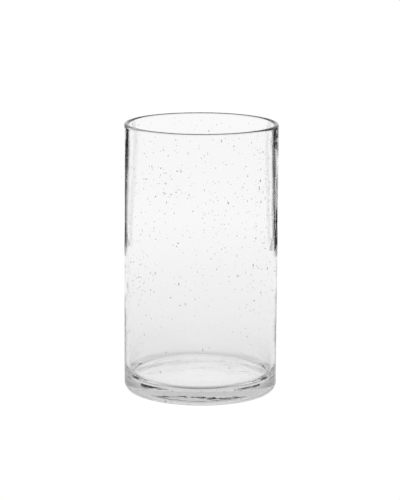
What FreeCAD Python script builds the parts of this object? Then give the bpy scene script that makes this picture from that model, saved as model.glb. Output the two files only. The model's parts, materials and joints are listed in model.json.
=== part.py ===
# Seeded glass cylinder vase: one blown body of clear glass with gas seeds caught in it.
#
# The glass is modelled in the zones that the blower works: lip, wall, heel and floor. Neighbours
# meet face to face on a flat or round cut, so together they fill the volume of the real body.
# Each seed is a closed gas pocket, and the glass round it has a cavity of the same shape.
#
# Frame: millimetres, +Z up, origin at the centre of the circle that the vase stands on.
import FreeCAD, Part

import math
import os
import random
from collections import namedtuple

# Driving dimensions
HEIGHT = 210.0
OUTER_R = 60.0
LIP_THICK = 3.8             # the glass is thickest where the edge was melted round
WALL_THICK = 2.4            # thinnest, at half height
LIP_COLLAR = 18.0           # straight bore below the mouth
HEEL_TOP = 22.0             # height of the cut between heel and wall
TOE_ROUND = 2.2             # tight arc where the outer corner leaves the table
HEEL_ROUND = 7.0            # wide arc that carries it on to the straight side
HEEL_SLOPE = 55.0           # degrees from level where the one gives way to the other
FOOT_R = 48.0               # inner edge of the flat ring that meets the table
PUSH_UP = 1.2               # hollow under the middle of the floor
FLOOR_EDGE_Z = 10.5         # top of the floor, and level out to FLAT_R but for its crown
FLAT_R = 46.0
FLOOR_CROWN = 0.3           # the floor's middle stands this much higher
CREASE_R = 52.5             # the crease that rings the floor starts here
CREASE_RISE = 0.4           # and this much above the floor's edge
CREASE_ROUND = 1.6
CREASE_SLOPE = 55.0         # degrees from level where the crease turns into the thickened wall
FLOOR_R = 44.0              # radius of the cut between floor and heel

# Worked out from them
MOUTH_R = OUTER_R - LIP_THICK
BARREL_R = OUTER_R - WALL_THICK
LIP_ROUND = LIP_THICK / 2
LIP_BASE = HEIGHT - LIP_ROUND - LIP_COLLAR

# Seeds, as the gas pockets in blown glass are called
RANDOM_START = 8            # makes every build draw the same seeds
SKIN = 0.4                  # least glass between a seed and either surface of the wall
SEED_GAP = 0.5              # least glass between two seeds
FINEST = 0.30               # radius of the finest seed
LARGEST = 0.78              # radius of the largest
STRETCH = 2.4               # most that drawing out the glass has lengthened a seed
CUT_MARGIN = 2.2            # seeds' centres stay this far from the cuts between zones
BASE_SKIN = 1.5             # and this far inside the surfaces of the thick bottom glass

# A draw of seeds in the wall: how many, between which heights, round which bearing (degrees
# from +X towards +Y) with what spread, the share that was drawn out, and the largest radius.
Draw = namedtuple("Draw", "count low high bearing spread drawn largest")
ALL_ROUND = 360.0           # a spread so wide that the seeds are even all round


def point(radius, height):
    """A point of a profile, which is drawn on the plane that holds the vase's axis."""
    return FreeCAD.Vector(radius, 0, height)


def line(start, end):
    return Part.LineSegment(start, end).toShape()


def arc(start, middle, end):
    return Part.Arc(start, middle, end).toShape()


def round_corner(centre, radius, start_degrees, end_degrees):
    """The arc of a rounded edge, by its centre and the angles at which it starts and ends."""
    angles = [math.radians(a) for a in (start_degrees, (start_degrees + end_degrees) / 2, end_degrees)]
    return arc(*[centre + point(radius * math.cos(a), radius * math.sin(a)) for a in angles])


def revolve(edges):
    """The solid that a closed profile sweeps round the vase's axis."""
    face = Part.Face(Part.Wire(edges))
    return face.revolve(point(0, 0), FreeCAD.Vector(0, 0, 1), 360)


def bow(chord_r, rise):
    """Radius of the shallow arc that rises by so much over half its chord."""
    return (chord_r ** 2 + rise ** 2) / (2 * rise)


def cap_height(radius, chord_r, rise):
    """Height above its chord of a shallow spherical cap, at a radius from its middle."""
    sphere = bow(chord_r, rise)
    return math.sqrt(sphere ** 2 - radius ** 2) - sphere + rise


def barrel_radius(height):
    """Radius of the bore between heel and lip, where blowing has thinned the wall."""
    half_span = (LIP_BASE - HEEL_TOP) / 2
    from_middle = height - (LIP_BASE + HEEL_TOP) / 2
    return MOUTH_R + cap_height(from_middle, half_span, BARREL_R - MOUTH_R)


def make_lip():
    """The mouth: a straight collar with a fire-polished, fully rounded edge."""
    bead = point(OUTER_R - LIP_ROUND, HEIGHT - LIP_ROUND)
    return revolve([
        line(point(MOUTH_R, LIP_BASE), point(OUTER_R, LIP_BASE)),
        line(point(OUTER_R, LIP_BASE), point(OUTER_R, bead.z)),
        round_corner(bead, LIP_ROUND, 0, 180),
        line(point(MOUTH_R, bead.z), point(MOUTH_R, LIP_BASE)),
    ])


def make_wall():
    """The blown cylinder, straight outside and slightly barrelled inside."""
    return revolve([
        line(point(MOUTH_R, HEEL_TOP), point(OUTER_R, HEEL_TOP)),
        line(point(OUTER_R, HEEL_TOP), point(OUTER_R, LIP_BASE)),
        line(point(OUTER_R, LIP_BASE), point(MOUTH_R, LIP_BASE)),
        arc(point(MOUTH_R, LIP_BASE), point(BARREL_R, (LIP_BASE + HEEL_TOP) / 2), point(MOUTH_R, HEEL_TOP)),
    ])


def outer_corner():
    """The heel's profile, from the table up to the straight side: a tight arc, then a wide one."""
    slope = math.radians(HEEL_SLOPE)
    heel = point(OUTER_R - HEEL_ROUND,
                 TOE_ROUND * (1 - math.cos(slope)) + HEEL_ROUND * math.cos(slope))
    toe = point(heel.x + (HEEL_ROUND - TOE_ROUND) * math.sin(slope), TOE_ROUND)
    return [
        line(point(FOOT_R, 0), point(toe.x, 0)),
        round_corner(toe, TOE_ROUND, -90, HEEL_SLOPE - 90),
        round_corner(heel, HEEL_ROUND, HEEL_SLOPE - 90, 0),
        line(point(OUTER_R, heel.z), point(OUTER_R, HEEL_TOP)),
    ]


def inner_corner():
    """The bore's profile, down the thickened wall, round the crease and easing out on to the floor."""
    slope = math.radians(CREASE_SLOPE)
    ease = bow(CREASE_R - FLAT_R, CREASE_RISE)
    ease_slope = math.asin((CREASE_R - FLAT_R) / ease)
    crease = point(CREASE_R - CREASE_ROUND * math.sin(ease_slope),
                   FLOOR_EDGE_Z + CREASE_RISE + CREASE_ROUND * math.cos(ease_slope))
    thickening = (MOUTH_R - crease.x - CREASE_ROUND * math.sin(slope)) / (1 - math.sin(slope))
    top = point(MOUTH_R, crease.z + (thickening - CREASE_ROUND) * math.cos(slope))
    return [
        line(point(MOUTH_R, HEEL_TOP), top),
        round_corner(point(MOUTH_R - thickening, top.z), thickening, 0, CREASE_SLOPE - 90),
        round_corner(crease, CREASE_ROUND, CREASE_SLOPE - 90, math.degrees(ease_slope) - 90),
        round_corner(point(FLAT_R, FLOOR_EDGE_Z + ease), ease, math.degrees(ease_slope) - 90, -90),
    ]


def make_base():
    """Heel and floor in one, from the table to the cut below the wall."""
    half_foot = FOOT_R / 2
    half_flat = FLAT_R / 2
    under = point(half_foot, cap_height(half_foot, FOOT_R, PUSH_UP))
    crown = point(half_flat, FLOOR_EDGE_Z + cap_height(half_flat, FLAT_R, FLOOR_CROWN))
    return revolve([
        arc(point(0, PUSH_UP), under, point(FOOT_R, 0)),
        *outer_corner(),
        line(point(OUTER_R, HEEL_TOP), point(MOUTH_R, HEEL_TOP)),
        *inner_corner(),
        arc(point(FLAT_R, FLOOR_EDGE_Z), crown, point(0, FLOOR_EDGE_Z + FLOOR_CROWN)),
        line(point(0, FLOOR_EDGE_Z + FLOOR_CROWN), point(0, PUSH_UP)),
    ])


class Seed:
    """One gas pocket: round, or longer than wide if the glass was drawn out after it was caught."""

    def __init__(self, centre, radius, stretch=1.0):
        self.centre = centre
        self.radius = radius
        self.half_length = radius * stretch

    def clear_of(self, other):
        apart = self.centre.distanceToPoint(other.centre)
        return apart > self.half_length + other.half_length + SEED_GAP

    def solid(self):
        if self.half_length == self.radius:
            return Part.makeSphere(self.radius, self.centre)
        top = self.centre + FreeCAD.Vector(0, 0, self.half_length)
        bottom = self.centre - FreeCAD.Vector(0, 0, self.half_length)
        side = self.centre + FreeCAD.Vector(self.radius, 0, 0)
        outline = Part.ArcOfEllipse(Part.Ellipse(top, side, self.centre), 0, math.pi).toShape()
        half = Part.Face(Part.Wire([outline, line(bottom, top)]))
        return half.revolve(self.centre, FreeCAD.Vector(0, 0, 1), 360)


def seed_radius(rng, largest):
    """Fine seeds are much commoner than large ones."""
    return FINEST + (largest - FINEST) * rng.random() ** 2.2


def at_bearing(from_axis, angle, height):
    return FreeCAD.Vector(from_axis * math.cos(angle), from_axis * math.sin(angle), height)


def wall_seed(rng, draw):
    """A seed somewhere in the thickness of the wall or the lip."""
    height = rng.uniform(draw.low, draw.high)
    angle = math.radians(rng.gauss(draw.bearing, draw.spread))
    radius = seed_radius(rng, draw.largest)
    stretch = rng.uniform(1.3, STRETCH) if rng.random() < draw.drawn else 1.0
    bore = barrel_radius(height) if height < LIP_BASE else MOUTH_R
    from_axis = rng.uniform(bore + SKIN + radius, OUTER_R - SKIN - radius)
    return Seed(at_bearing(from_axis, angle, height), radius, stretch)


def base_seed(rng, inner, outer):
    """A seed in the thick glass at the bottom, where nothing drew it out."""
    from_axis = math.sqrt(rng.uniform(inner ** 2, outer ** 2))
    under = cap_height(from_axis, FOOT_R, PUSH_UP) if from_axis < FOOT_R else 0
    height = rng.uniform(under + BASE_SKIN, FLOOR_EDGE_Z - BASE_SKIN)
    return Seed(at_bearing(from_axis, rng.uniform(0, 2 * math.pi), height), seed_radius(rng, LARGEST))


def make_seeds():
    """Every seed, in one named group for each zone and band of the glass."""
    rng = random.Random(RANDOM_START)
    few, some, many = 0.15, 0.4, 0.65
    upper, middle, lower = 150, 117, 78
    wall_draws = {
        "seeds_lip": [
            Draw(40, LIP_BASE + CUT_MARGIN, HEIGHT - LIP_THICK, 0, ALL_ROUND, few, 0.7),
        ],
        "seeds_shoulder": [
            Draw(78, upper, LIP_BASE - CUT_MARGIN, 0, ALL_ROUND, few, LARGEST),
            Draw(24, 160, 184, -118, 14, few, 0.7),
            Draw(28, 152, 180, -40, 16, some, 0.7),
        ],
        "seeds_upper_wall": [
            Draw(74, middle, upper, 0, ALL_ROUND, some, LARGEST),
            Draw(26, 122, 148, -36, 20, some, 0.6),
        ],
        "seeds_middle_wall": [
            Draw(62, lower, middle, 0, ALL_ROUND, some, 0.7),
            Draw(38, 82, 114, -148, 22, many, 0.6),
            Draw(20, 80, 104, -28, 16, many, 0.6),
        ],
        "seeds_lower_wall": [
            Draw(34, HEEL_TOP + CUT_MARGIN, 58, 0, ALL_ROUND, many, 0.6),
            Draw(12, 58, lower, 0, ALL_ROUND, many, 0.5),
            Draw(18, HEEL_TOP + CUT_MARGIN, 52, 168, 22, many, 0.5),
        ],
    }
    groups = {
        name: [wall_seed(rng, draw) for draw in draws for _ in range(draw.count)]
        for name, draws in wall_draws.items()
    }
    groups["seeds_heel"] = [base_seed(rng, FLOOR_R + BASE_SKIN, CREASE_R) for _ in range(14)]
    groups["seeds_floor"] = [base_seed(rng, 0, FLOOR_R - BASE_SKIN) for _ in range(22)]
    return {name: spaced_out(seeds) for name, seeds in groups.items()}


def spaced_out(seeds):
    """The seeds of a group, without those that would run into one before them."""
    kept = []
    for seed in seeds:
        if all(seed.clear_of(other) for other in kept):
            kept.append(seed)
    return kept


def main():
    base = make_base()
    core = Part.makeCylinder(FLOOR_R, HEEL_TOP)
    glass = {
        "lip": make_lip(),
        "wall": make_wall(),
        "heel": base.cut(core),
        "floor": base.common(core),
    }
    zone_of = {"seeds_lip": "lip", "seeds_heel": "heel", "seeds_floor": "floor"}
    os.makedirs("parts", exist_ok=True)
    for name, seeds in make_seeds().items():
        pockets = Part.makeCompound([seed.solid() for seed in seeds])
        pockets.exportStep(f"parts/{name}.step")
        zone = zone_of.get(name, "wall")
        glass[zone] = glass[zone].cut(pockets)
        print(name, len(seeds))
    for name, solid in glass.items():
        solid.Solids[0].exportStep(f"parts/{name}.step")
        print(name, solid.isValid(), len(solid.Solids), len(solid.Shells), round(solid.Volume))


main()
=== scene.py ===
import json
import math
import random

import bmesh
import bpy
from mathutils import Euler, Matrix, Vector, noise


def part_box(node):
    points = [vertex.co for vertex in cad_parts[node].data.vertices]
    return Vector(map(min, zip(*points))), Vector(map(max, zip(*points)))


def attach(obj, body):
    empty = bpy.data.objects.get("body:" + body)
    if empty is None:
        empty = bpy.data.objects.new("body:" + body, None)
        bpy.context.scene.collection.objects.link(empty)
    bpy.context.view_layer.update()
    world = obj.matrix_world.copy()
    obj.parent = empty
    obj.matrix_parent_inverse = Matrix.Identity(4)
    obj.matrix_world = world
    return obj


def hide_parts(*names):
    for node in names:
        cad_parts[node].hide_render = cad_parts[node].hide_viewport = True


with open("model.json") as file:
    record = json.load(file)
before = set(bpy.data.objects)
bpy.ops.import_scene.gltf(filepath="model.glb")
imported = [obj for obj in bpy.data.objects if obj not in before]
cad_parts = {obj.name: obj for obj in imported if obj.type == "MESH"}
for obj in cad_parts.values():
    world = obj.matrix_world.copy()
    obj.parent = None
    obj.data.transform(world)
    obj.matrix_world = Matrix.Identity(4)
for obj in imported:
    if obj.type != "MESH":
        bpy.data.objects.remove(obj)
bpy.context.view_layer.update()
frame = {"nodes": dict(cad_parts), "record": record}

# The looks of a cylinder vase of seeded glass, built round its CAD frame. Lengths are in metres.

MM = 0.001

# Sizes of the glass that come from the frame
lip_low, lip_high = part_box("lip")
mouth = next(mount for mount in frame["record"]["mounts"] if mount["name"] == "mouth")
HEIGHT = lip_high.z
OUTER_R = lip_high.x
MOUTH_R = mouth["dims"]["r_mm"] * MM
LIP_THICK = OUTER_R - MOUTH_R
LIP_BASE = lip_low.z
HEEL_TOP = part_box("heel")[1].z
CROWN_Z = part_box("floor")[1].z       # the middle of the floor's top
SEED_GROUPS = [name for name in frame["nodes"] if name.startswith("seeds_")]

# The base's section, from the underside out and back up inside
PUSH_UP = 1.2 * MM                   # the middle of the underside stands this much off the table
FOOT_R = 48.0 * MM                   # inner edge of the ring that the vase stands on
TOE_ROUND = 2.2 * MM                 # tight arc where the outer corner leaves the table
HEEL_ROUND = 7.0 * MM                # wide arc that carries it on to the straight side
HEEL_SLOPE = math.radians(55)        # slope at which the one gives way to the other
FLAT_R = 46.0 * MM                   # the floor is level out to here, but for its crown
CROWN = 0.3 * MM                     # the floor's middle stands this much above its edge
CREASE_R = 52.5 * MM                 # the crease that rings the floor starts here
CREASE_RISE = 0.4 * MM               # and this much above the floor's edge
CREASE_ROUND = 1.2 * MM
CREASE_SLOPE = math.radians(55)      # slope at which the crease turns into the thickened wall

# The wall as it is blown: a thick collar, and thin from the shoulder down
COLLAR = 190.0 * MM                  # height at which the collar is thickest
COLLAR_SWELL = 0.5 * MM              # how much thicker than the lip it is there
SHOULDER = 120.0 * MM                # height from which the wall thickens towards the collar
THINNING = 1.3 * MM                  # how much thinner than the lip the wall is
THICKENS = 90.0 * MM                 # height from which the wall thickens towards the base
SWELL_LOW = CROWN_Z + 2.0 * MM       # height at which the bore is back on the true section
OFF_CENTRE = 0.35 * MM               # the bore stands this far to the left of the outside

# How uneven a hand leaves the glass, and the pitch in metres along x, y and z of each unevenness
OUTER_IN = 0.25 * MM                 # the outside lies this far inside the true one, on average
OUTER_SWAY, SWAY_PITCH = 0.22 * MM, (0.055, 0.055, 0.075)
BORE_WAVE, WAVE_PITCH = 0.3 * MM, (0.05, 0.05, 0.06)
BORE_RIPPLE, RIPPLE_PITCH = 0.05 * MM, (0.014, 0.014, 0.011)
LIP_SWAY, LIP_PITCH = 0.25 * MM, (0.06, 0.06, 1)
FLOOR_WAVE, FLOOR_PITCH = 0.15 * MM, (0.022, 0.022, 1)
FLOOR_RING, RING_PITCH = 0.04 * MM, (0.0024, 1 / 1.3, 1 / 1.3)     # radius, then the way it points
UNDER_WAVE, UNDER_PITCH = 0.06 * MM, (0.02, 0.02, 1)
UNDER_MOTTLE, MOTTLE_PITCH = 0.02 * MM, (0.003, 0.003, 1)

# Faces of the blown skin
TURNS = 288                          # round the axis
STEP = 2.5 * MM                      # up the wall

# Gas seeds
SEED_SIZE = 0.9                      # a seed in the wall, next to its CAD solid
SEED_SHARE = 0.33                    # half a seed takes up at most this share of the wall's thickness
SEED_PLAY = 0.12                     # share of the thickness that its centre may lie off mid-wall
FINE_SEEDS = 420
FINE_SIZES = (0.18 * MM, 0.36 * MM)
FINE_STRETCH = (1.0, 2.0)            # how much longer than wide the fine ones are drawn
FINE_RISE = 1.3                      # above 1, they crowd towards the lip

# Studio: the table that the glass sees, a card that glows with painted light: painted shade a little darker
# near the vase, and a painted sheen that is bright seen flat and dark seen steeply. Its stops are (distance
# from the axis, light seen flat, seen steeply)
TABLE_R = 12.0
WHITE = 1.02                         # just past white, so that the camera sees no grey in it
# Light of the table seen steeply: dark as the painted sheen's dark side, and lighter in a painted ring under
# the toe
DEEP = 0.05
UNDER_TOE = 0.7
TABLE_LIGHT = [
    (0.0, 0.88, DEEP), (0.046, 0.88, DEEP), (0.050, 0.80, UNDER_TOE), (0.066, 0.78, UNDER_TOE),
    (0.074, 0.80, DEEP), (0.11, 0.81, DEEP), (0.20, 0.87, DEEP), (0.35, 0.905, DEEP),
    (0.55, 0.945, DEEP), (0.8, 0.97, DEEP),
]
STEEP, FLAT = 0.2, 0.55              # Layer Weight's Facing where the table's painted sheen counts as steep and as flat

# Studio: the dome of light, by the height and the sideways part of the way that a ray points
DOME_SIDE, DOME_TOP = 1.0, 0.8       # light at the horizon and overhead
DOME_RISE = (0.3, 0.8)               # heights between which the one turns into the other
DOME_ASIDE = 0.25                    # share of the light that is left at the far left and right
ASIDE_RISE = (0.12, 0.3)             # heights between which the sides begin to dim
ASIDE_TURN = (0.3, 0.9)              # sideways parts between which they dim

# Studio: black flags behind the vase. Sides and spreads are degrees from straight behind.
FLAG_NEAR, FLAG_MID, FLAG_FAR = 0.53, 1.05, 2.6
FLAG_LEFT = (25.0, 33.5, 34.0)       # side at the near, middle and far distance
FLAG_RIGHT = (26.0, 36.5, 36.0)
FLAG_SPREAD = 9.0
FLAG_STANDS = 0.16                   # height of the card that stands at the far end
RAISED = (0.59, 0.70)                # lower and upper edge of the card that hangs there
RAISED_SIDE, RAISED_SPREAD = 27.0, 11.0
BLACK = 0.02

# Camera
CAMERA_AWAY = 1587 * MM              # in front of the vase's axis
CAMERA_UP = 440 * MM                 # above the table
CAMERA_LEFT = 0.68 * MM
LOOK_DOWN = math.radians(11.76)
ROLL = math.radians(0.28)
LENS = 149.6                         # millimetres
SENSOR = 36.0                        # millimetres along the longer side of the frame


# ---------------------------------------------------------------- small helpers

def linear(hex_colour):
    """An sRGB hex colour as linear RGBA."""
    parts = [int(hex_colour[i:i + 2], 16) / 255 for i in (1, 3, 5)]
    return [c / 12.92 if c <= 0.04045 else ((c + 0.055) / 1.055) ** 2.4 for c in parts] + [1.0]


def smoothstep(low, high, value):
    share = min(max((value - low) / (high - low), 0.0), 1.0)
    return share * share * (3 - 2 * share)


def wave(place, pitch, start=(0, 0, 0)):
    """A smooth random value from -1 to 1. Each start gives another pattern."""
    return noise.noise(Vector([along / size for along, size in zip(place, pitch)]) + Vector(start))


def node(tree, kind, inputs=(), **settings):
    """Adds a node. Inputs are (input, socket or value); settings name its own properties or its inputs."""
    made = tree.nodes.new(kind)
    for name, value in settings.items():
        if hasattr(made, name):
            setattr(made, name, value)
        else:
            made.inputs[name.replace("_", " ")].default_value = value
    for name, value in inputs:
        if isinstance(value, bpy.types.NodeSocket):
            tree.links.new(value, made.inputs[name])
        else:
            made.inputs[name].default_value = value
    return made


def new_material(name):
    material = bpy.data.materials.new(name)
    material.use_nodes = True
    material.node_tree.nodes.clear()
    return material, material.node_tree


def finished(bm, name, material):
    """Turns a bmesh into a smooth, linked object at the origin."""
    for face in bm.faces:
        face.smooth = True
    mesh = bpy.data.meshes.new(name)
    bm.to_mesh(mesh)
    bm.free()
    mesh.materials.append(material)
    piece = bpy.data.objects.new(name, mesh)
    bpy.context.scene.collection.objects.link(piece)
    return piece


# ---------------------------------------------------------------- glass body

def at(radius, height):
    return Vector((radius, 0, height))


def bow(half_width, height):
    """Radius of the shallow arc that rises by a height over half its width."""
    return (half_width ** 2 + height ** 2) / (2 * height)


def draw_line(bm, tip, end):
    """Continues the outline from its tip to a point, in steps of about STEP."""
    start = tip.co.copy()
    steps = max(1, round((end - start).length / STEP))
    for _ in range(steps):
        tip = bmesh.ops.extrude_vert_indiv(bm, verts=[tip])["verts"][0]
        bmesh.ops.translate(bm, verts=[tip], vec=(end - start) / steps)
    return tip


def draw_arc(bm, tip, centre, turn, steps):
    """Continues the outline from its tip by an arc. A positive turn goes from +Z towards +X."""
    spun = bmesh.ops.spin(bm, geom=[tip], cent=centre, axis=(0, 1, 0), angle=turn,
                          steps=steps, use_merge=False, use_duplicate=False)
    return spun["geom_last"][0]


def draw_outside(bm):
    """From the middle of the underside out over the foot, round the heel and up to the lip."""
    dome = bow(FOOT_R, PUSH_UP)
    toe_r = OUTER_R - TOE_ROUND * math.sin(HEEL_SLOPE) - HEEL_ROUND * (1 - math.sin(HEEL_SLOPE))
    heel_z = TOE_ROUND * (1 - math.cos(HEEL_SLOPE)) + HEEL_ROUND * math.cos(HEEL_SLOPE)
    tip = bm.verts.new(at(0, PUSH_UP))
    tip = draw_arc(bm, tip, at(0, PUSH_UP - dome), math.asin(FOOT_R / dome), 36)
    tip = draw_line(bm, tip, at(toe_r, 0))
    tip = draw_arc(bm, tip, at(toe_r, TOE_ROUND), -HEEL_SLOPE, 8)
    tip = draw_arc(bm, tip, at(OUTER_R - HEEL_ROUND, heel_z), HEEL_SLOPE - math.pi / 2, 8)
    return draw_line(bm, tip, at(OUTER_R, HEIGHT - LIP_THICK / 2))


def draw_inside(bm, tip):
    """Over the lip, down the bore, through the swell and the crease, and in to the middle of the floor."""
    edge_z = CROWN_Z - CROWN
    crown = bow(FLAT_R, CROWN)
    ease = bow(CREASE_R - FLAT_R, CREASE_RISE)
    ease_turn = math.asin((CREASE_R - FLAT_R) / ease)
    crease = at(CREASE_R - CREASE_ROUND * math.sin(ease_turn),
                edge_z + CREASE_RISE + CREASE_ROUND * math.cos(ease_turn))
    swell_low = crease + CREASE_ROUND * at(math.sin(CREASE_SLOPE), -math.cos(CREASE_SLOPE))
    swell = (MOUTH_R - swell_low.x) / (1 - math.sin(CREASE_SLOPE))
    swell_top = swell_low.z + swell * math.cos(CREASE_SLOPE)
    tip = draw_arc(bm, tip, at(OUTER_R - LIP_THICK / 2, HEIGHT - LIP_THICK / 2), -math.pi, 20)
    tip = draw_line(bm, tip, at(MOUTH_R, swell_top))
    tip = draw_arc(bm, tip, at(MOUTH_R - swell, swell_top), math.pi / 2 - CREASE_SLOPE, 12)
    tip = draw_arc(bm, tip, crease, CREASE_SLOPE - ease_turn, 10)
    tip = draw_arc(bm, tip, at(FLAT_R, edge_z + ease), ease_turn, 6)
    draw_arc(bm, tip, at(0, CROWN_Z - crown), -math.asin(FLAT_R / crown), 60)


def bore_shift(place, outward):
    """How far outwards the blown bore lies from the true one."""
    to_collar = smoothstep(SHOULDER, COLLAR, place.z)
    below_lip = 1 - smoothstep(COLLAR, HEIGHT, place.z)
    thinned = THINNING * (1 - to_collar) - COLLAR_SWELL * to_collar * below_lip
    off_centre = -OFF_CENTRE * outward.x * below_lip
    waves = BORE_WAVE * wave(place, WAVE_PITCH, (7, 3, 1))
    ripples = BORE_RIPPLE * wave(place, RIPPLE_PITCH, (2, 9, 4))
    return (thinned + off_centre + waves + ripples) * smoothstep(SWELL_LOW, THICKENS, place.z)


def floor_rise(place, radius, outward):
    """How uneven the floor's top and its underside are left, clear of the side of the vase."""
    flat = Vector((place.x, place.y, 0))
    top = smoothstep(CROWN_Z / 2, CROWN_Z - CROWN, place.z) * (1 - smoothstep(CROWN_Z, HEEL_TOP, place.z))
    rings = smoothstep(0.8 * FLAT_R, FLAT_R, radius) * wave((radius, outward.x, outward.y), RING_PITCH)
    top_rise = FLOOR_WAVE * wave(flat, FLOOR_PITCH, (0, 0, 11)) + FLOOR_RING * rings
    under = (1 - smoothstep(PUSH_UP, CROWN_Z / 2, place.z)) * smoothstep(0, PUSH_UP / 3, place.z)
    under_rise = (UNDER_WAVE * wave(flat, UNDER_PITCH, (0, 0, 17))
                  + UNDER_MOTTLE * wave(flat, MOTTLE_PITCH, (0, 0, 19)))
    return top * top_rise + under * under_rise


def hand_blown(place):
    """Where a point of the true section goes on glass that was blown and turned by hand."""
    radius = math.hypot(place.x, place.y)
    if radius < 1e-6:
        return place
    outward = Vector((place.x, place.y, 0)) / radius
    outer_share = smoothstep(MOUTH_R, OUTER_R, radius)
    at_side = smoothstep(OUTER_R - 9 * MM, OUTER_R - 4 * MM, radius)
    outer_shift = OUTER_SWAY * wave(place, SWAY_PITCH) - OUTER_IN
    moved = place + outward * (outer_shift * outer_share * at_side
                               + bore_shift(place, outward) * (1 - outer_share))
    lip_rise = LIP_SWAY * wave((place.x, place.y, 0), LIP_PITCH, (0, 0, 5)) - LIP_SWAY
    moved.z += lip_rise * smoothstep(LIP_BASE, HEIGHT, place.z)
    moved.z += floor_rise(place, radius, outward) * (1 - at_side)
    return moved


def blown_glass(material):
    """The whole vase as one closed skin of glass."""
    bm = bmesh.new()
    draw_inside(bm, draw_outside(bm))
    bmesh.ops.spin(bm, geom=bm.verts[:] + bm.edges[:], cent=(0, 0, 0), axis=(0, 0, 1),
                   angle=2 * math.pi, steps=TURNS, use_merge=True, use_duplicate=False)
    bmesh.ops.remove_doubles(bm, verts=bm.verts, dist=1e-6)
    for vert in bm.verts:
        vert.co = hand_blown(vert.co)
    bmesh.ops.recalc_face_normals(bm, faces=bm.faces)
    return finished(bm, "blown_glass", material)


# ---------------------------------------------------------------- gas seeds

def islands(bm):
    """The separate shells of a mesh, each as its vertices."""
    unseen = set(bm.verts)
    while unseen:
        stack = [unseen.pop()]
        shell = list(stack)
        while stack:
            for edge in stack.pop().link_edges:
                for vert in edge.verts:
                    if vert in unseen:
                        unseen.remove(vert)
                        stack.append(vert)
                        shell.append(vert)
        yield shell


def seed_boxes(group):
    """Centre and half sizes of every seed of a CAD group."""
    bm = bmesh.new()
    bm.from_mesh(frame["nodes"][group].data)
    bmesh.ops.remove_doubles(bm, verts=bm.verts, dist=1e-6)
    boxes = []
    for shell in islands(bm):
        low = Vector([min(vert.co[i] for vert in shell) for i in range(3)])
        high = Vector([max(vert.co[i] for vert in shell) for i in range(3)])
        boxes.append(((low + high) / 2, (high - low) / 2))
    bm.free()
    return sorted(boxes, key=lambda box: tuple(box[0]))


def in_blown_wall(centre, half):
    """A seed's place and half sizes once the wall that holds it has been blown thin."""
    outward = Vector((centre.x, centre.y, 0)).normalized()
    up = Vector((0, 0, centre.z))
    depth = (outward.dot(centre) - MOUTH_R) / LIP_THICK
    depth = min(max(depth, 0.5 - SEED_PLAY), 0.5 + SEED_PLAY)
    inner = hand_blown(MOUTH_R * outward + up)
    outer = hand_blown(OUTER_R * outward + up)
    flat = min(half.x, SEED_SHARE * (outer - inner).length)
    return inner.lerp(outer, depth), Vector((flat, half.y, half.z))


def bead(bm, centre, half, around, along):
    """One seed as a smooth bead, its first half size lying along the radius."""
    outward = Matrix.Rotation(math.atan2(centre.y, centre.x), 4, "Z")
    place = Matrix.Translation(centre) @ outward @ Matrix.Diagonal(half.to_4d())
    bmesh.ops.create_uvsphere(bm, u_segments=around, v_segments=along, radius=1.0, matrix=place)


def gas_seeds(group, material):
    """The seeds of one group, where the CAD has them."""
    bm = bmesh.new()
    for centre, half in seed_boxes(group):
        if centre.z > HEEL_TOP:
            centre, half = in_blown_wall(centre, SEED_SIZE * half)
        bead(bm, centre, half, 8, 6)
    bmesh.ops.recalc_face_normals(bm, faces=bm.faces)
    return finished(bm, group.replace("seeds_", "gas_seeds_"), material)


def fine_seeds(material):
    """Seeds that are mostly finer than the CAD's finest, strewn through the wall and the lip."""
    rng = random.Random(5)
    bm = bmesh.new()
    top = HEIGHT - LIP_THICK
    middle = (MOUTH_R + OUTER_R) / 2
    for _ in range(FINE_SEEDS):
        angle = rng.uniform(-math.pi, math.pi)
        height = top - (top - HEEL_TOP) * rng.random() ** FINE_RISE
        half = rng.uniform(*FINE_SIZES) * Vector((1, 1, rng.uniform(*FINE_STRETCH)))
        centre = Vector((middle * math.cos(angle), middle * math.sin(angle), height))
        bead(bm, *in_blown_wall(centre, half), 6, 4)
    bmesh.ops.recalc_face_normals(bm, faces=bm.faces)
    return finished(bm, "gas_seeds_fine", material)


# ---------------------------------------------------------------- materials

def clear_soda_lime():
    """Clear soda-lime glass, blown and fire-polished: bright, colourless and mirror-smooth, but with slow
    ripples in its skin, 7 to every 100 mm, and faint cords drawn out along the axis, 22 to every 100 mm.
    Thick glass looks a little greyer."""
    material, tree = new_material("clear_soda_lime")
    place = node(tree, "ShaderNodeTexCoord").outputs["Object"]
    ripples = node(tree, "ShaderNodeTexNoise", [("Vector", place)], Scale=7 / (100 * MM), Detail=2.0,
                   Roughness=0.45)
    drawn = node(tree, "ShaderNodeMapping", [("Vector", place)], Scale=(1, 1, 0.12))
    cords = node(tree, "ShaderNodeTexNoise", [("Vector", drawn.outputs["Vector"])], Scale=22 / (100 * MM),
                 Detail=1.0)
    relief = node(tree, "ShaderNodeMath", [(0, cords.outputs["Fac"]), (1, 0.15), (2, ripples.outputs["Fac"])],
                  operation="MULTIPLY_ADD")
    skin = node(tree, "ShaderNodeBump", [("Height", relief.outputs["Value"])], Strength=0.1,
                Distance=0.4 * MM)
    glass = node(tree, "ShaderNodeBsdfPrincipled", [("Normal", skin.outputs["Normal"])],
                 Base_Color=linear("#fefefe"), Roughness=0.0, IOR=1.5, Transmission_Weight=1.0)
    depth = node(tree, "ShaderNodeVolumeAbsorption", Color=linear("#bcbcbc"), Density=6.0)
    node(tree, "ShaderNodeOutputMaterial", [("Surface", glass.outputs["BSDF"]),
                                            ("Volume", depth.outputs["Volume"])])
    return material


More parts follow.
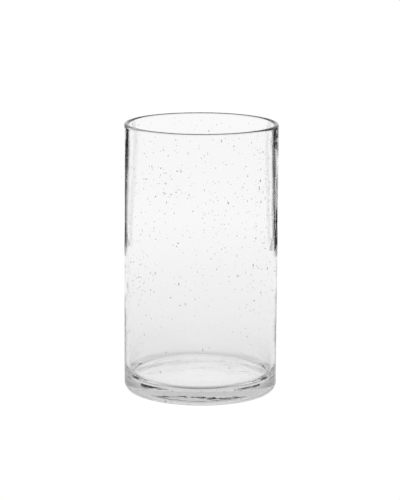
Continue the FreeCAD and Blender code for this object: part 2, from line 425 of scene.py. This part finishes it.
def trapped_gas():
    """Gas sealed in glass, in pockets with a faintly wrinkled wall: light that leaves the glass for the gas
    bends outwards, so each pocket is a bright bead with a dark rim."""
    material, tree = new_material("trapped_gas")
    place = node(tree, "ShaderNodeTexCoord").outputs["Object"]
    wrinkles = node(tree, "ShaderNodeTexNoise", [("Vector", place)], Scale=1 / (0.5 * MM), Detail=1.0)
    skin = node(tree, "ShaderNodeBump", [("Height", wrinkles.outputs["Fac"])], Strength=0.2,
                Distance=0.05 * MM)
    gas = node(tree, "ShaderNodeBsdfGlass", [("Normal", skin.outputs["Normal"])],
               Color=linear("#ffffff"), Roughness=0.0, IOR=1 / 1.5)
    node(tree, "ShaderNodeOutputMaterial", [("Surface", gas.outputs["BSDF"])])
    return material


# ---------------------------------------------------------------- studio

def lit_card(name, strength):
    """A material that gives off an even light, however it is lit."""
    material, tree = new_material(name)
    glow = node(tree, "ShaderNodeEmission", Strength=strength)
    node(tree, "ShaderNodeOutputMaterial", [("Surface", glow.outputs["Emission"])])
    return material, tree, glow


def table_painted_sheen_and_shade():
    """A pale table that glows, with painted light: a painted sheen, bright where it is seen flat and dark
    where it is seen from steeply above, and painted shade, a little darker near the vase, which keeps light
    from it."""
    material, tree, glow = lit_card("table_painted_sheen_and_shade", 1.0)
    reach = TABLE_LIGHT[-1][0]
    place = node(tree, "ShaderNodeTexCoord").outputs["Object"]
    from_axis = node(tree, "ShaderNodeVectorMath", [("Vector", place)], operation="LENGTH")
    share = node(tree, "ShaderNodeMath", [(0, from_axis.outputs["Value"]), (1, reach)], operation="DIVIDE")
    # Painted shade: the stops make the glow a little darker near the vase, and lighter under the toe where it
    # is seen steeply
    levels = node(tree, "ShaderNodeValToRGB", [("Fac", share.outputs["Value"])])
    stops = levels.color_ramp.elements
    for index, (distance, flat, steep) in enumerate(TABLE_LIGHT):
        stop = stops[index] if index < 2 else stops.new(distance / reach)
        stop.position = distance / reach
        stop.color = (flat, steep, 0, 1)
    level = node(tree, "ShaderNodeSeparateColor", [("Color", levels.outputs["Color"])])
    # Painted sheen: the table's glow turns from its dark steep light to its bright flat light by Layer
    # Weight's Facing
    painted_sheen = node(tree, "ShaderNodeLayerWeight", Blend=0.5)
    light = node(tree, "ShaderNodeMapRange",
                 [("Value", painted_sheen.outputs["Facing"]), ("From Min", STEEP), ("From Max", FLAT),
                  ("To Min", level.outputs["Green"]), ("To Max", level.outputs["Red"])],
                 interpolation_type="SMOOTHSTEP")
    tree.links.new(light.outputs["Result"], glow.inputs["Strength"])
    return material


def lay_table():
    """The plain white floor that the camera sees and, just under it, the table that the glass sees."""
    pale_floor = lit_card("pale_floor", WHITE)[0]
    tops = [("floor_seen", -0.2 * MM, pale_floor), ("floor_glow", -0.4 * MM, table_painted_sheen_and_shade())]
    for name, height, material in tops:
        bm = bmesh.new()
        bmesh.ops.create_circle(bm, cap_ends=True, radius=TABLE_R, segments=96,
                                matrix=Matrix.Translation((0, 0, height)))
        top = finished(bm, name, material)
        top.visible_camera = name == "floor_seen"
        top.visible_transmission = name == "floor_glow"
        top.visible_glossy = name == "floor_glow"


def hang_flags():
    """Black flags behind the vase, to its left and right, draw the glass's edges dark. On each side one
    lies on the table in two lengths, one stands at the far end, and one hangs there."""
    bm = bmesh.new()
    for hand, (near_side, mid_side, far_side) in ((1, FLAG_LEFT), (-1, FLAG_RIGHT)):
        # Each card goes from one edge to another, given as (distance, height, side)
        cards = [
            ((FLAG_NEAR, 0, near_side), (FLAG_MID, 0, mid_side), FLAG_SPREAD),
            ((FLAG_MID, 0, mid_side), (FLAG_FAR, 0, far_side), FLAG_SPREAD),
            ((FLAG_FAR, 0, far_side), (FLAG_FAR, FLAG_STANDS, far_side), FLAG_SPREAD),
            ((FLAG_FAR, RAISED[0], RAISED_SIDE), (FLAG_FAR, RAISED[1], RAISED_SIDE), RAISED_SPREAD),
        ]
        for first, second, spread in cards:
            for vert in bmesh.ops.create_grid(bm, x_segments=1, y_segments=1, size=1)["verts"]:
                away, up, side = second if vert.co.y > 0 else first
                way = math.radians(90 + hand * side + spread * vert.co.x)
                vert.co = (away * math.cos(way), away * math.sin(way), up - 0.1 * MM)
    flags = finished(bm, "flags", lit_card("black_flag", BLACK)[0])
    flags.visible_camera = False
    flags.visible_diffuse = False
    flags.visible_shadow = False


def light_dome():
    """Soft white light from all round: less from overhead, and least from high up at the left and right.
    What the camera sees past the table is plain white."""
    world = bpy.data.worlds.new("studio")
    world.use_nodes = True
    tree = world.node_tree
    tree.nodes.clear()
    ray = node(tree, "ShaderNodeLightPath")
    pointing = node(tree, "ShaderNodeTexCoord").outputs["Generated"]
    way = node(tree, "ShaderNodeSeparateXYZ", [("Vector", pointing)])
    dome = node(tree, "ShaderNodeMapRange",
                [("Value", way.outputs["Z"]), ("From Min", DOME_RISE[0]), ("From Max", DOME_RISE[1]),
                 ("To Min", DOME_SIDE), ("To Max", DOME_TOP)], interpolation_type="SMOOTHSTEP")
    aside = node(tree, "ShaderNodeMath", [(0, way.outputs["X"])], operation="ABSOLUTE")
    dimmed = node(tree, "ShaderNodeMapRange",
                  [("Value", way.outputs["Z"]), ("From Min", ASIDE_RISE[0]), ("From Max", ASIDE_RISE[1]),
                   ("To Min", 1.0), ("To Max", DOME_ASIDE)], interpolation_type="SMOOTHSTEP")
    sides = node(tree, "ShaderNodeMapRange",
                 [("Value", aside.outputs["Value"]), ("From Min", ASIDE_TURN[0]), ("From Max", ASIDE_TURN[1]),
                  ("To Min", 1.0), ("To Max", dimmed.outputs["Result"])])
    lit = node(tree, "ShaderNodeMath", [(0, dome.outputs["Result"]), (1, sides.outputs["Result"])],
               operation="MULTIPLY")
    seen = node(tree, "ShaderNodeMix", [("Factor", ray.outputs["Is Camera Ray"]), ("A", lit.outputs["Value"]),
                                        ("B", WHITE)])
    light = node(tree, "ShaderNodeBackground", [("Strength", seen.outputs["Result"])], Color=(1, 1, 1, 1))
    node(tree, "ShaderNodeOutputWorld", [("Surface", light.outputs["Background"])])
    bpy.context.scene.world = world


def place_camera():
    """In front of the vase and above it, looking a little down."""
    camera = bpy.data.objects.new("camera", bpy.data.cameras.new("camera"))
    camera.data.lens = LENS
    camera.data.sensor_width = SENSOR
    camera.data.clip_start = 0.05
    camera.data.clip_end = 40.0
    camera.matrix_world = (
        Matrix.Translation((-CAMERA_LEFT, -CAMERA_AWAY, CAMERA_UP))
        @ Euler((math.pi / 2 - LOOK_DOWN, 0, 0)).to_matrix().to_4x4()
        @ Matrix.Rotation(ROLL, 4, "Z")
    )
    bpy.context.scene.collection.objects.link(camera)
    bpy.context.scene.camera = camera


# ---------------------------------------------------------------- the vase in its studio

place_camera()

glass = blown_glass(clear_soda_lime())
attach(glass, "root")
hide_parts("lip", "wall", "heel", "floor")

gas = trapped_gas()
for group in SEED_GROUPS:
    beads = gas_seeds(group, gas)
    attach(beads, "root")
    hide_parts(group)

specks = fine_seeds(gas)
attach(specks, "root")

lay_table()
hang_flags()
light_dome()

scene = bpy.context.scene
scene.view_settings.view_transform = "Standard"
# Light crosses many skins of glass and gas before it leaves the vase
scene.cycles.max_bounces = 32
scene.cycles.transmission_bounces = 32
scene.cycles.glossy_bounces = 16
